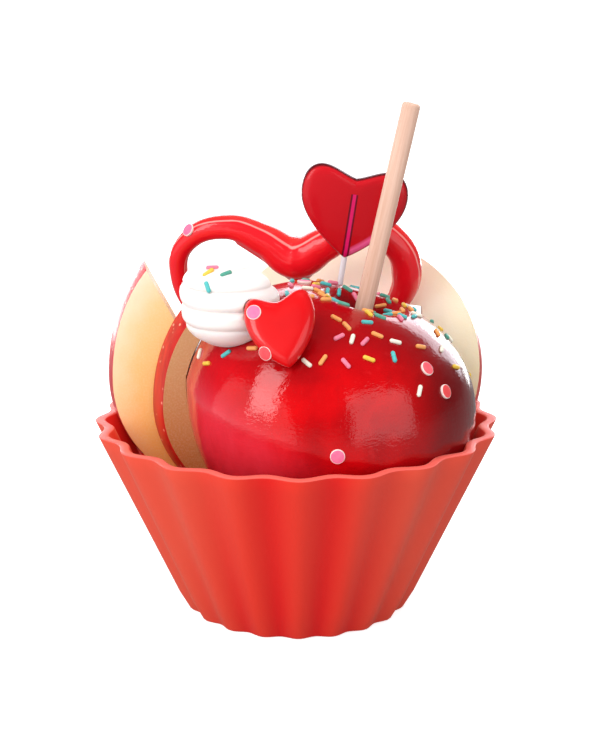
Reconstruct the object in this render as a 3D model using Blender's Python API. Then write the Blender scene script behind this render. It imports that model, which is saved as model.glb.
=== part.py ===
"""A toffee apple on a wooden stick in a fluted silicone cup, with three apple slices, a glazed
heart ring, a dollop of cream, a heart sweet and a heart lollipop. Metres, +Z up. The origin is
the middle of the flat underside of the cup, and the front of the cup faces -Y."""

import math
import random

import bmesh
import bpy
from mathutils import Matrix, Vector
from mathutils.bvhtree import BVHTree

CUP_HEIGHT = 0.049
CUP_RIM_RADIUS = 0.0508
CUP_BASE_RADIUS = 0.0287
CUP_WALL = 0.0026
CUP_FLOOR = 0.0026
FLUTES = 20
FLUTE_DEPTH_RIM = 0.0012
FLUTE_DEPTH_BASE = 0.0007
FLUTE_TURN = math.radians(1.0)
CUP_SEGMENTS = 100

APPLE_CENTRE = Vector((0.0081, -0.0062, 0.0518))
APPLE_RADIUS = 0.0370
APPLE_HALF_HEIGHT = 0.0325
APPLE_LEAN = math.radians(15.0)
APPLE_FULLNESS = 2.3
APPLE_TAPER = 0.21
DIMPLE_DEPTH = 0.0085
DIMPLE_RADIUS = 0.0078
APPLE_SEGMENTS = 44
APPLE_ROWS = 22

STICK_RADIUS = 0.00225
STICK_LEAN = math.radians(12.3)
STICK_THROUGH = Vector((0.0165, -0.0070, 0.0780))
STICK_ABOVE = 0.0533
STICK_BELOW = 0.0330

SLICE_THICKNESS = 0.0050
FIT_GAP = 0.0003

SPRINKLE_RADIUS = 0.00055
SPRINKLE_LENGTH = 0.0031
APPLE_SPRINKLES = 106
CONFETTI_RADIUS = 0.00175
CONFETTI_THICKNESS = 0.0007

LOLLY_FOOT = Vector((0.0122, 0.0090, 0.0886))
LOLLY_AXIS = Vector((0.143, -0.150, 1.0)).normalized()
LOLLY_STICK_RADIUS = 0.00075

for item in list(bpy.data.objects):
    bpy.data.objects.remove(item, do_unlink=True)


def collection(name):
    made = bpy.data.collections.new(name)
    bpy.context.scene.collection.children.link(made)
    return made


PARTS = collection("toffee_apple_cup")
CUTTERS = collection("cutters")


def paint(name, colour, roughness, metallic=0.0):
    made = bpy.data.materials.new(name)
    made.use_nodes = True
    shader = made.node_tree.nodes["Principled BSDF"]
    shader.inputs["Base Color"].default_value = (*colour, 1.0)
    shader.inputs["Roughness"].default_value = roughness
    shader.inputs["Metallic"].default_value = metallic
    made.diffuse_color = (*colour, 1.0)
    return made


SILICONE = paint("red_silicone", (0.75, 0.06, 0.035), 0.45)
TOFFEE = paint("red_toffee", (0.55, 0.008, 0.012), 0.08)
WOOD = paint("pale_birch", (0.82, 0.58, 0.44), 0.6)
FLESH = paint("apple_flesh", (0.90, 0.72, 0.45), 0.5)
GLAZE = paint("red_glaze", (0.70, 0.015, 0.020), 0.1)
CREAM = paint("whipped_cream", (0.95, 0.93, 0.90), 0.5)
SWEET = paint("heart_sweet", (0.75, 0.010, 0.012), 0.1)
LOLLY = paint("lolly_red", (0.50, 0.006, 0.020), 0.08)
PAPER = paint("white_paper", (0.90, 0.89, 0.90), 0.5)


def add(name, mesh, material, smooth_angle=40):
    made = bpy.data.objects.new(name, mesh)
    mesh.materials.clear()
    mesh.materials.append(material)
    mesh.shade_smooth()
    mesh.set_sharp_from_angle(angle=math.radians(smooth_angle))
    PARTS.objects.link(made)
    return made


def mesh_of(name, bm):
    bmesh.ops.recalc_face_normals(bm, faces=bm.faces)
    made = bpy.data.meshes.new(name)
    bm.to_mesh(made)
    bm.free()
    return made


def cutter(name, mesh, group=CUTTERS):
    made = bpy.data.objects.new(name, mesh)
    made.hide_render = True
    made.display_type = "WIRE"
    group.objects.link(made)
    return made


def bake(obj):
    """Applies the modifiers of an object to its mesh."""
    graph = bpy.context.evaluated_depsgraph_get()
    mesh = bpy.data.meshes.new_from_object(obj.evaluated_get(graph))
    obj.modifiers.clear()
    obj.data = mesh


def cut(obj, tool):
    step = obj.modifiers.new("cut_" + tool.name, "BOOLEAN")
    step.operation = "DIFFERENCE"
    step.object = tool
    return step


def fuse(obj, meshes):
    """Joins small toppings to an object with one union on a collection of them."""
    group = collection(obj.name + "_toppings")
    tools = [cutter(obj.name + "_topping", mesh, group) for mesh in meshes]
    step = obj.modifiers.new("toppings", "BOOLEAN")
    step.operation = "UNION"
    step.operand_type = "COLLECTION"
    step.collection = group
    step.solver = "MANIFOLD"
    bpy.context.view_layer.update()
    bake(obj)
    for tool in tools:
        bpy.data.objects.remove(tool, do_unlink=True)
    bpy.data.collections.remove(group)


def keep_largest(obj):
    """Drops loose scraps that a cut leaves behind."""
    bm = bmesh.new()
    bm.from_mesh(obj.data)
    left = set(bm.verts)
    islands = []
    while left:
        stack = [left.pop()]
        island = set(stack)
        while stack:
            for edge in stack.pop().link_edges:
                for vert in edge.verts:
                    if vert in left:
                        left.remove(vert)
                        island.add(vert)
                        stack.append(vert)
        islands.append(island)
    islands.sort(key=len)
    for island in islands[:-1]:
        bmesh.ops.delete(bm, geom=list(island), context="VERTS")
    bm.to_mesh(obj.data)
    bm.free()


def frame_at(point, normal, along):
    """A matrix with +Z on the normal and +X on the given direction, made square to it."""
    z = normal.normalized()
    x = (along - along.dot(z) * z).normalized()
    turn = Matrix((x, z.cross(x), z)).transposed()
    return Matrix.Translation(point) @ turn.to_4x4()


def land(mesh, start, direction):
    """Where a line from the start first meets a mesh, with the surface's normal there."""
    bm = bmesh.new()
    bm.from_mesh(mesh)
    spot, normal, _, _ = BVHTree.FromBMesh(bm).ray_cast(start, direction)
    bm.free()
    return spot, normal


def cup_mesh(name, grow):
    """Rows of the wall are extruded one from another: up the outside, over the rim, down inside.
    grow thickens the wall on every side, for the room that the cup needs."""
    bevel = 0.0012
    top = CUP_HEIGHT + grow
    inner = -CUP_WALL - grow
    rows = [
        (-grow, CUP_BASE_RADIUS - bevel + grow, 0.8),
        (0.35 * bevel, CUP_BASE_RADIUS - 0.35 * bevel + grow, 0.95),
        (bevel, grow, 1.0),
        (top - 0.0003, grow, 1.0),
        (top, grow - 0.0003, 1.0),
        (top, inner + 0.0003, 1.0),
        (top - 0.0003, inner, 1.0),
        (CUP_FLOOR + grow + 0.0020, inner, 0.9),
        (CUP_FLOOR + grow + 0.0005, inner - 0.0010, 0.6),
        (CUP_FLOOR + grow, inner - 0.0030, 0.2),
    ]
    bm = bmesh.new()
    ring = bmesh.ops.create_circle(bm, segments=CUP_SEGMENTS, radius=1.0)["verts"]
    angles = [math.atan2(vert.co.y, vert.co.x) for vert in ring]

    def place(verts, row):
        z, radius, share = row
        part = z / CUP_HEIGHT
        if radius < 0.01:
            radius += CUP_BASE_RADIUS + (CUP_RIM_RADIUS - CUP_BASE_RADIUS) * part
        depth = share * (FLUTE_DEPTH_BASE + (FLUTE_DEPTH_RIM - FLUTE_DEPTH_BASE) * part)
        for vert, angle in zip(verts, angles):
            wave = math.cos(FLUTES * (angle + math.pi / 2 - FLUTE_TURN))
            reach = radius + depth * wave
            vert.co = (reach * math.cos(angle), reach * math.sin(angle), z)

    place(ring, rows[0])
    bmesh.ops.contextual_create(bm, geom=ring)
    for row in rows[1:]:
        inside = set(ring)
        edges = [edge for edge in bm.edges if inside.issuperset(edge.verts)]
        grown = bmesh.ops.extrude_edge_only(bm, edges=edges)["geom"]
        fresh = {vert for vert in grown if isinstance(vert, bmesh.types.BMVert)}
        ring = [
            next(edge.other_vert(vert) for edge in vert.link_edges if edge.other_vert(vert) in fresh)
            for vert in ring
        ]
        place(ring, row)
    bmesh.ops.contextual_create(bm, geom=ring)
    return mesh_of(name, bm)


def apple_point(t, grow=0.0):
    """Radius and height of the apple's profile at t from 0 (top dimple) to 1 (underside)."""

    def raw(u):
        angle = math.pi * u
        s = max(math.sin(angle), 0.0) ** (2 / APPLE_FULLNESS)
        c = math.copysign(abs(math.cos(angle)) ** (2 / APPLE_FULLNESS), math.cos(angle))
        r = APPLE_RADIUS * s
        z = APPLE_HALF_HEIGHT * c
        if z < 0:
            r *= 1 - APPLE_TAPER * -z / APPLE_HALF_HEIGHT
            z += 0.004 * math.exp(-((r / 0.006) ** 2))
        else:
            z -= DIMPLE_DEPTH * math.exp(-((r / DIMPLE_RADIUS) ** 2))
        return r, z

    r, z = raw(t)
    r0, z0 = raw(max(t - 0.002, 0.0))
    r1, z1 = raw(min(t + 0.002, 1.0))
    size = math.hypot(r1 - r0, z1 - z0)
    normal = ((z0 - z1) / size, (r1 - r0) / size)
    if t in (0, 1):
        normal = (0.0, 1.0 if t == 0 else -1.0)
    return r + grow * normal[0], z + grow * normal[1], normal


APPLE_PLACE = Matrix.Translation(APPLE_CENTRE) @ Matrix.Rotation(APPLE_LEAN, 4, "Y")


def apple_mesh(name, grow):
    """A profile from the top down, turned about the apple's own axis."""
    bm = bmesh.new()
    last = None
    for i in range(APPLE_ROWS + 1):
        r, z, _ = apple_point(i / APPLE_ROWS, grow)
        vert = bm.verts.new((max(r, 0.0) if 0 < i < APPLE_ROWS else 0.0, 0, z))
        if last:
            bm.edges.new((last, vert))
        last = vert
    bmesh.ops.spin(
        bm,
        geom=list(bm.verts) + list(bm.edges),
        cent=(0, 0, 0),
        axis=(0, 0, 1),
        angle=2 * math.pi,
        steps=APPLE_SEGMENTS,
        use_merge=True,
    )
    bmesh.ops.remove_doubles(bm, verts=bm.verts, dist=0.00001)
    bmesh.ops.transform(bm, matrix=APPLE_PLACE, verts=bm.verts)
    return mesh_of(name, bm)


def apple_frame(t, turn, spin, sink):
    """Where a topping lies on the toffee: on the profile at t, turned about the apple's axis."""
    r, z, (nr, nz) = apple_point(t)
    around = Matrix.Rotation(turn, 3, "Z")
    normal = around @ Vector((nr, 0, nz))
    tangent = around @ Vector((-nz, 0, nr))
    side = normal.cross(tangent)
    along = math.cos(spin) * tangent + math.sin(spin) * side
    point = around @ Vector((r, 0, z)) + normal * sink
    return APPLE_PLACE @ frame_at(point, normal, along)


def sprinkle(place, length=SPRINKLE_LENGTH):
    """A short rod with round ends, lying along the +X of its place."""
    bm = bmesh.new()
    bmesh.ops.create_uvsphere(bm, u_segments=6, v_segments=3, radius=SPRINKLE_RADIUS)
    for vert in bm.verts:
        vert.co.z += math.copysign(length / 2 - SPRINKLE_RADIUS, vert.co.z)
    turn = Matrix.Rotation(math.pi / 2, 4, "Y")
    bmesh.ops.transform(bm, matrix=place @ turn, verts=bm.verts)
    return mesh_of("sprinkle", bm)


def confetti(place, radius=CONFETTI_RADIUS):
    bm = bmesh.new()
    bmesh.ops.create_cone(
        bm, cap_ends=True, segments=18, radius1=radius, radius2=radius, depth=CONFETTI_THICKNESS
    )
    bmesh.ops.transform(bm, matrix=place, verts=bm.verts)
    return mesh_of("confetti", bm)


def rod(name, start, direction, length, radius, segments=20, rounded=0.0):
    bm = bmesh.new()
    bmesh.ops.create_cone(
        bm, cap_ends=True, segments=segments, radius1=radius, radius2=radius, depth=length
    )
    if rounded:
        ends = [edge for edge in bm.edges if edge.verts[0].co.z * edge.verts[1].co.z > 0]
        bmesh.ops.bevel(bm, geom=ends, offset=rounded, segments=3, profile=0.5, affect="EDGES")
    middle = start + direction * (length / 2)
    turn = direction.to_track_quat("Z", "Y").to_matrix().to_4x4()
    bmesh.ops.transform(bm, matrix=Matrix.Translation(middle) @ turn, verts=bm.verts)
    return mesh_of(name, bm)


STICK_AXIS = Vector((math.sin(STICK_LEAN), 0, math.cos(STICK_LEAN)))
STICK_FOOT = STICK_THROUGH - STICK_AXIS * STICK_BELOW

CREAM_CENTRE = Vector((-0.0158, -0.0205, 0.0840))
CREAM_RADIUS = 0.0119
CREAM_HEIGHT = 0.0215
CREAM_LAYERS = 4.6
SWEET_CENTRE = Vector((-0.0032, -0.0350, 0.0803))
SWEET_TURN = math.radians(-9)
SWEET_LEAN = math.radians(-27)
SWEET_SIDE = math.radians(14.5)
SWEET_SIZES = (0.0083, 0.0105, 0.0028)


def apple_toppings():
    """Sprinkles crowd round the dimple and thin out down the sides, clear of what stands there."""
    draw = random.Random(43)
    keep_off = [
        (CREAM_CENTRE, 0.0148),
        (SWEET_CENTRE, 0.0118),
        (LOLLY_FOOT - LOLLY_AXIS * 0.008, 0.0040),
        (STICK_THROUGH, 0.0052),
    ]
    taken = []
    made = []
    for t, turn in CONFETTI_SPOTS:
        place = apple_frame(t, turn, 0.0, 0.0001)
        taken.append((place.translation, 0.0030))
        made.append(confetti(place))
    for t, turn, spin in FRONT_SPRINKLES:
        place = apple_frame(t, math.radians(turn), math.radians(spin), 0.00018)
        taken.append((place.translation, 0.0025))
        made.append(sprinkle(place))
    while len(made) < APPLE_SPRINKLES + len(CONFETTI_SPOTS):
        t = 0.055 + 0.34 * draw.random() ** 2.3
        turn = draw.uniform(-math.pi, math.pi)
        place = apple_frame(t, turn, draw.uniform(0, math.pi), 0.00018)
        spot = place.translation
        if any((spot - centre).length < reach for centre, reach in keep_off):
            continue
        if any((spot - other).length < room for other, room in taken):
            continue
        if spot.z < CUP_HEIGHT + 0.004 or (t > 0.19 and -3.0 < turn < -0.3):
            continue
        taken.append((spot, 0.0025))
        made.append(sprinkle(place))
    return made


CONFETTI_SPOTS = (
    (0.118, math.radians(161)),
    (0.265, math.radians(-52)),
    (0.323, math.radians(-43)),
    (0.495, math.radians(-88)),
)
# The sprinkles that lie apart on the front: place along the profile, turn and spin in degrees.
FRONT_SPRINKLES = (
    (0.429, -156, 113),
    (0.383, -147, 146),
    (0.34, -136, 114),
    (0.427, -167, 42),
    (0.32, -110, 70),
    (0.3, -104, 168),
    (0.291, -94, 53),
    (0.264, -84, 82),
    (0.244, -71, 8),
    (0.324, -59, 162),
    (0.204, -50, 84),
    (0.198, -68, 83),
    (0.217, -87, 152),
    (0.22, -94, 179),
    (0.225, -101, 143),
    (0.266, -26, 73),
    (0.212, -30, 118),
)


def toffee_apple(cup_cutter):
    body = add("apple", apple_mesh("apple", 0.0), TOFFEE)
    bore = rod(
        "stick_bore",
        STICK_FOOT - STICK_AXIS * FIT_GAP,
        STICK_AXIS,
        0.06,
        STICK_RADIUS + FIT_GAP,
        24,
    )
    lolly_bore = rod(
        "lolly_bore",
        LOLLY_FOOT - LOLLY_AXIS * (LOLLY_BELOW + FIT_GAP),
        LOLLY_AXIS,
        0.03,
        LOLLY_STICK_RADIUS + FIT_GAP,
        16,
    )
    cut(body, cutter("stick_bore", bore))
    cut(body, cutter("lolly_bore", lolly_bore))
    cut(body, cup_cutter)
    bpy.context.view_layer.update()
    bake(body)
    fuse(body, apple_toppings())
    keep_largest(body)
    body.data.materials.clear()
    body.data.materials.append(TOFFEE)
    return body


LOLLY_BELOW = 0.0200
LOLLY_SIZES = (0.0136, 0.0140, 0.0024)


def wooden_stick():
    mesh = rod(
        "stick",
        STICK_FOOT,
        STICK_AXIS,
        STICK_BELOW + STICK_ABOVE,
        STICK_RADIUS,
        24,
        0.0008,
    )
    return add("stick", mesh, WOOD)


def slice_of(name, centre, sizes, offset, thickness, turn, cuts):
    """A flat slice off the side of an apple. sizes holds the half width, the heights above and
    below the middle and the half depth of the apple it comes from, and offset the distance from
    that apple's middle to the front face. turn takes the slice from facing -Y to its place, and
    each cut is a point and a direction, in the plane of the slice, that is taken away."""
    wide, up, down, deep = sizes
    bm = bmesh.new()
    bmesh.ops.create_uvsphere(bm, u_segments=56, v_segments=28, radius=1.0)
    for vert in bm.verts:
        tall = up if vert.co.z > 0 else down
        vert.co = (vert.co.x * wide, vert.co.y * deep + offset, vert.co.z * tall)
    planes = [((0, 0, 0), (0, -1, 0)), ((0, thickness, 0), (0, 1, 0))]
    planes += [((x, 0, z), (dx, 0, dz)) for x, z, dx, dz in cuts]
    for point, away in planes:
        geom = bm.verts[:] + bm.edges[:] + bm.faces[:]
        found = bmesh.ops.bisect_plane(
            bm, geom=geom, plane_co=point, plane_no=away, dist=0.000001, clear_outer=True
        )["geom_cut"]
        edges = [item for item in found if isinstance(item, bmesh.types.BMEdge)]
        bmesh.ops.holes_fill(bm, edges=edges, sides=0)
    bmesh.ops.remove_doubles(bm, verts=bm.verts, dist=0.00005)
    bmesh.ops.dissolve_degenerate(bm, dist=0.00002, edges=bm.edges)
    bmesh.ops.transform(bm, matrix=Matrix.Translation(centre) @ turn.to_4x4(), verts=bm.verts)
    return add(name, mesh_of(name, bm), FLESH)


def slices(apple_cutter, cup_cutter):
    straight = Matrix.Identity(3)
    outer = slice_of(
        "slice_left_outer",
        Vector((-0.0200, 0.0015, 0.0583)),
        (0.0299, 0.0424, 0.0310, 0.0340),
        0.0140,
        SLICE_THICKNESS,
        straight,
        ((-0.0177, 0.0286, 0.88, 0.47), (-0.0105, 0.0, 1.0, 0.0)),
    )
    inner = slice_of(
        "slice_left_inner",
        Vector((-0.0085, -0.0055, 0.0530)),
        (0.0315, 0.0402, 0.0312, 0.0320),
        0.0190,
        SLICE_THICKNESS,
        straight,
        ((-0.0060, 0.0, 1.0, 0.0), (-0.0205, 0.0263, 0.62, 0.78)),
    )
    cut(inner, apple_cutter)
    facing = Vector((0.55, 1.0, -0.40)).normalized()
    level = facing.cross(Vector((0, 0, 1))).normalized()
    turn = Matrix((level, facing, level.cross(facing))).transposed()
    back = slice_of(
        "slice_back",
        Vector((0.0128, 0.0318, 0.0545)),
        (0.0407, 0.0365, 0.0365, 0.0400),
        -0.0060,
        0.0046,
        turn,
        ((0.0, 0.0, -0.32, -0.95),),
    )
    cut(back, apple_cutter)
    low = bmesh.new()
    bmesh.ops.create_cube(low, size=0.1)
    bmesh.ops.translate(low, vec=(0.0340 - 0.05, 0.03, 0.0725 - 0.05), verts=low.verts)
    cut(back, cutter("slice_back_low", mesh_of("slice_back_low", low)))
    bpy.context.view_layer.update()
    cut(outer, cup_cutter)
    cut(back, cup_cutter)
    for piece in (outer, inner, back):
        bake(piece)
        keep_largest(piece)


RING_SPOTS = (
    (-0.0320, 0.0805, 0.0025),
    (-0.0296, 0.0897, 0.0028),
    (-0.0185, 0.0944, 0.0033),
    (-0.0085, 0.0909, 0.0043),
    (-0.0003, 0.0862, 0.0059),
    (0.0072, 0.0900, 0.0047),
    (0.0165, 0.0955, 0.0042),
    (0.0258, 0.0915, 0.0041),
    (0.0294, 0.0825, 0.0041),
    (0.0272, 0.0740, 0.0032),
    (0.0170, 0.0590, 0.0026),
    (0.0040, 0.0475, 0.0026),
    (-0.0130, 0.0560, 0.0025),
    (-0.0262, 0.0675, 0.0025),
)
RING_WEB = (
    (-0.0150, 0.0918),
    (-0.0085, 0.0874),
    (0.0007, 0.0805),
    (0.0060, 0.0862),
    (0.0100, 0.0905),
)
RING_WEB_RADIUS = 0.0023


def ring_place(x, z):
    """The plane that the heart ring stands in, leaning forward at the top."""
    return Vector((x, 0.0321 - 0.15 * (x - 0.020) - 0.35 * (z - 0.060), z))


def tube(name, spots, closed):
    """A round tube through spots, each an x, a z and a radius, in the plane of the ring. An open
    tube turns sharply at its middle spot."""
    line = bpy.data.curves.new(name, "CURVE")
    line.dimensions = "3D"
    line.bevel_depth = 1.0
    line.bevel_resolution = 2
    line.resolution_u = 5 if closed else 3
    line.use_fill_caps = not closed
    spline = line.splines.new("BEZIER")
    spline.bezier_points.add(len(spots) - 1)
    for index, (point, (x, z, radius)) in enumerate(zip(spline.bezier_points, spots)):
        point.co = ring_place(x, z)
        point.radius = radius
        sharp = not closed and index == len(spots) // 2
        point.handle_left_type = "VECTOR" if sharp else "AUTO"
        point.handle_right_type = "VECTOR" if sharp else "AUTO"
    spline.use_cyclic_u = closed
    guide = bpy.data.objects.new(name, line)
    PARTS.objects.link(guide)
    bpy.context.view_layer.update()
    graph = bpy.context.evaluated_depsgraph_get()
    mesh = bpy.data.meshes.new_from_object(guide.evaluated_get(graph))
    bpy.data.objects.remove(guide, do_unlink=True)
    bm = bmesh.new()
    bm.from_mesh(mesh)
    bmesh.ops.remove_doubles(bm, verts=bm.verts, dist=0.00001)
    return mesh_of(name, bm)


def heart_ring():
    """The ring is a tube, with a thinner tube that draws its cleft to a point inside."""
    ring = add("heart_ring", tube("heart_ring", RING_SPOTS, True), GLAZE)
    web = tube("ring_web", [(x, z, RING_WEB_RADIUS) for x, z in RING_WEB], False)
    start = ring_place(-0.0278, 0.0925) + Vector((-0.001, -0.02, 0.001))
    spot, normal = land(ring.data, start, Vector((0, 1, 0)))
    fuse(ring, [web, confetti(frame_at(spot, normal, Vector((1, 0, 0))))])
    ring.data.materials.clear()
    ring.data.materials.append(GLAZE)
    return ring


def cream_reach(part, angle):
    """How far the swirl reaches from its axis: part runs from 0 at the foot to 1 at the tip."""
    if part < 0.45:
        body = (1 - ((0.45 - part) / 0.45) ** 2.2) ** 0.50
    else:
        body = (1 - ((part - 0.45) / 0.55) ** 2.5) ** 0.60
    ridge = abs(math.sin(math.pi * (CREAM_LAYERS * part + angle / (2 * math.pi))))
    soft = 0.065 + 0.025 * math.sin(2 * angle + 9 * part)
    groove = soft * (1 - ridge) ** 2 * min(part / 0.15, 1.0) * min((1 - part) / 0.15, 1.0)
    return CREAM_RADIUS * body * (1 - groove)


CREAM_PLACE = Matrix.Translation(CREAM_CENTRE) @ Matrix.Rotation(math.radians(-4), 4, "Y")


def cream(apple_cutter, sweet_cutter):
    """A piped dollop: a turned swirl whose tip curls over to the left."""
    bm = bmesh.new()
    bmesh.ops.create_uvsphere(bm, u_segments=26, v_segments=24, radius=1.0)
    for vert in bm.verts:
        part = 1 - math.acos(max(-1.0, min(1.0, vert.co.z))) / math.pi
        angle = math.atan2(vert.co.y, vert.co.x)
        flat = math.hypot(vert.co.x, vert.co.y)
        reach = cream_reach(part, angle) if 0 < part < 1 and flat > 1e-6 else 0.0
        curl = -0.0030 * max(part - 0.55, 0.0) / 0.45
        vert.co = (
            reach * math.cos(angle) + curl,
            reach * math.sin(angle),
            CREAM_HEIGHT * (part - 0.5),
        )
    bmesh.ops.transform(bm, matrix=CREAM_PLACE, verts=bm.verts)
    dollop = add("cream", mesh_of("cream", bm), CREAM, 60)
    cut(dollop, apple_cutter)
    cut(dollop, sweet_cutter)
    bpy.context.view_layer.update()
    bake(dollop)
    keep_largest(dollop)
    toppings = []
    for part, turn, spin in CREAM_SPRINKLES:
        angle = math.radians(turn)
        reach = cream_reach(part, angle)
        curl = -0.0030 * max(part - 0.55, 0.0) / 0.45
        spot = Vector(
            (reach * math.cos(angle) + curl, reach * math.sin(angle), CREAM_HEIGHT * (part - 0.5))
        )
        rise = max(0.0, (part - 0.5) * 2.2)
        normal = Vector((math.cos(angle), math.sin(angle), rise)).normalized()
        side = normal.cross(Vector((0, 0, 1))).normalized()
        climb = side.cross(normal)
        along = math.cos(math.radians(spin)) * side + math.sin(math.radians(spin)) * climb
        place = CREAM_PLACE @ frame_at(spot, normal, along)
        toppings.append(sprinkle(place))
    fuse(dollop, toppings)
    dollop.data.materials.clear()
    dollop.data.materials.append(CREAM)
    return dollop


CREAM_SPRINKLES = (
    (0.945, -98, 0),
    (0.905, -107, -40),
    (0.885, -73, -15),
    (0.774, -108, 65),
)


def heart_line(angle, fullness, filled):
    """A heart one unit to each side: the cleft at angle 0 and the point at angle pi. filled
    raises the bottom of the cleft."""
    x = math.copysign(abs(math.sin(angle)) ** fullness, math.sin(angle))
    y = 0.80 * math.cos(angle) - 0.27 * math.cos(2 * angle)
    y += -0.10 * math.cos(3 * angle) - 0.04 * math.cos(4 * angle)
    return x, y + 0.16 + filled * math.exp(-((angle / 0.45) ** 2))


def heart_cushion(name, sizes, fullness, filled, softness, around, rows):
    """A sphere whose rings are drawn as hearts: softness 1 is a full pillow, less is flatter.
    sizes holds the half width, half height and half thickness."""
    half_width, half_height, half_thickness = sizes
    bm = bmesh.new()
    bmesh.ops.create_uvsphere(bm, u_segments=around, v_segments=rows, radius=1.0)
    for vert in bm.verts:
        x, y, z = vert.co
        level = math.acos(max(-1.0, min(1.0, z)))
        flat = math.sin(level) ** softness if 0.001 < level < math.pi - 0.001 else 0.0
        wide, tall = heart_line(math.atan2(x, y), fullness, filled)
        vert.co = (
            half_width * flat * wide,
            -half_thickness * z,
            half_height * flat * tall,
        )
    return mesh_of(name, bm)


SWEET_PLACE = (
    Matrix.Translation(SWEET_CENTRE)
    @ Matrix.Rotation(SWEET_TURN, 4, "Z")
    @ Matrix.Rotation(SWEET_LEAN, 4, "X")
    @ Matrix.Rotation(-SWEET_SIDE, 4, "Y")
)


def heart_sweet():
    mesh = heart_cushion("heart_sweet", SWEET_SIZES, 1.45, 0.11, 0.36, 38, 10)
    made = []
    for x, z in ((-0.0055, 0.0050), (-0.0047, -0.0047)):
        spot, normal = land(mesh, Vector((x, -0.02, z)), Vector((0, 1, 0)))
        made.append(confetti(SWEET_PLACE @ frame_at(spot, normal, Vector((1, 0, 0)))))
    mesh.transform(SWEET_PLACE)
    sweet = add("heart_sweet", mesh, SWEET)
    fuse(sweet, made)
    sweet.data.materials.clear()
    sweet.data.materials.append(SWEET)
    return sweet


def lollipop():
    mesh = heart_cushion("lollipop_heart", LOLLY_SIZES, 1.7, 0.10, 0.16, 52, 8)
    side = LOLLY_AXIS.cross(Vector((0, 1, 0))).normalized()
    away = LOLLY_AXIS.cross(side)
    away = away if away.y > 0 else -away
    side = away.cross(LOLLY_AXIS)
    turn = Matrix((side, away, LOLLY_AXIS)).transposed().to_4x4()
    middle = LOLLY_FOOT + LOLLY_AXIS * 0.0128
    mesh.transform(Matrix.Translation(middle) @ turn)
    heart = add("lollipop_heart", mesh, LOLLY)
    bore = rod(
        "lolly_heart_bore",
        LOLLY_FOOT - LOLLY_AXIS * 0.01,
        LOLLY_AXIS,
        0.01 + 0.0170 + FIT_GAP,
        LOLLY_STICK_RADIUS + FIT_GAP,
        16,
    )
    cut(heart, cutter("lolly_heart_bore", bore))
    bpy.context.view_layer.update()
    bake(heart)
    stick = rod(
        "lollipop_stick",
        LOLLY_FOOT - LOLLY_AXIS * LOLLY_BELOW,
        LOLLY_AXIS,
        LOLLY_BELOW + 0.0170,
        LOLLY_STICK_RADIUS,
        16,
    )
    add("lollipop_stick", stick, PAPER)


def build():
    apple_cutter = cutter("apple_room", apple_mesh("apple_room", FIT_GAP + 0.0001))
    cup_cutter = cutter("cup_room", cup_mesh("cup_room", FIT_GAP + 0.0001))
    room = [size + FIT_GAP + 0.0002 for size in SWEET_SIZES]
    sweet_mesh = heart_cushion("sweet_room", room, 1.45, 0.11, 0.36, 38, 10)
    sweet_mesh.transform(SWEET_PLACE)
    sweet_cutter = cutter("sweet_room", sweet_mesh)
    add("cup", cup_mesh("cup", 0.0), SILICONE)
    toffee_apple(cup_cutter)
    wooden_stick()
    slices(apple_cutter, cup_cutter)
    heart_ring()
    cream(apple_cutter, sweet_cutter)
    heart_sweet()
    lollipop()


build()
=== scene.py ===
import math
import random

import bmesh
import bpy
from mathutils import Matrix, Vector
from mathutils.bvhtree import BVHTree


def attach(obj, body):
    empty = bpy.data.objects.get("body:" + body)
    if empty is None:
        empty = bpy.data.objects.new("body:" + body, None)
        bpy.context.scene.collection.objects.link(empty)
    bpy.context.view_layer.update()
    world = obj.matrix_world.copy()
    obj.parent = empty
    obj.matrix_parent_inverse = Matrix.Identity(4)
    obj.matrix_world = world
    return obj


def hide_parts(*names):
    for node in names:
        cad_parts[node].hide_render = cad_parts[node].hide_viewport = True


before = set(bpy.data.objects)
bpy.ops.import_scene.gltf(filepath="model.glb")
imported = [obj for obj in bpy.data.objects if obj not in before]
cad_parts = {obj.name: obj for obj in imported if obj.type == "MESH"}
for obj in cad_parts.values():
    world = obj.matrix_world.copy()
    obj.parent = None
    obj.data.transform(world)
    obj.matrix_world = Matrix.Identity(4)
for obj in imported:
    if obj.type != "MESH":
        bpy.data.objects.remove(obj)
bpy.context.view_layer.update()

# Sizes of the pieces, in metres, as in the part's source.
CUP_HEIGHT = 0.049
CUP_RIM_RADIUS = 0.0506
CUP_BASE_RADIUS = 0.0287
CUP_WALL = 0.0026
CUP_FLOOR = 0.0026
CUP_FOOT_EDGE = 0.0012
CUP_RIM_EDGE = 0.0003
FLUTES = 20
FLUTE_DEPTH_RIM = 0.0012
FLUTE_DEPTH_BASE = 0.0007
FLUTE_TURN = math.radians(1.0)

APPLE_CENTRE = Vector((0.0081, -0.0062, 0.0518))
APPLE_RADIUS = 0.0370
APPLE_HALF_HEIGHT = 0.0325
APPLE_LEAN = math.radians(15.0)
APPLE_FULLNESS = 2.3
APPLE_TAPER = 0.21
DIMPLE_DEPTH = 0.0085
DIMPLE_RADIUS = 0.0078
BASE_DIMPLE_DEPTH = 0.004
BASE_DIMPLE_RADIUS = 0.006
PROFILE_STEP = 0.002
APPLE_PLACE = Matrix.Translation(APPLE_CENTRE) @ Matrix.Rotation(APPLE_LEAN, 4, "Y")

STICK_RADIUS = 0.00225
STICK_LEAN = math.radians(12.3)
STICK_THROUGH = Vector((0.0165, -0.0070, 0.0780))
STICK_ABOVE = 0.0533
STICK_BELOW = 0.0330
STICK_AXIS = Vector((math.sin(STICK_LEAN), 0, math.cos(STICK_LEAN)))

FIT_GAP = 0.0003
SLICE_THICKNESS = 0.0050
BACK_THICKNESS = 0.0046

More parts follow.
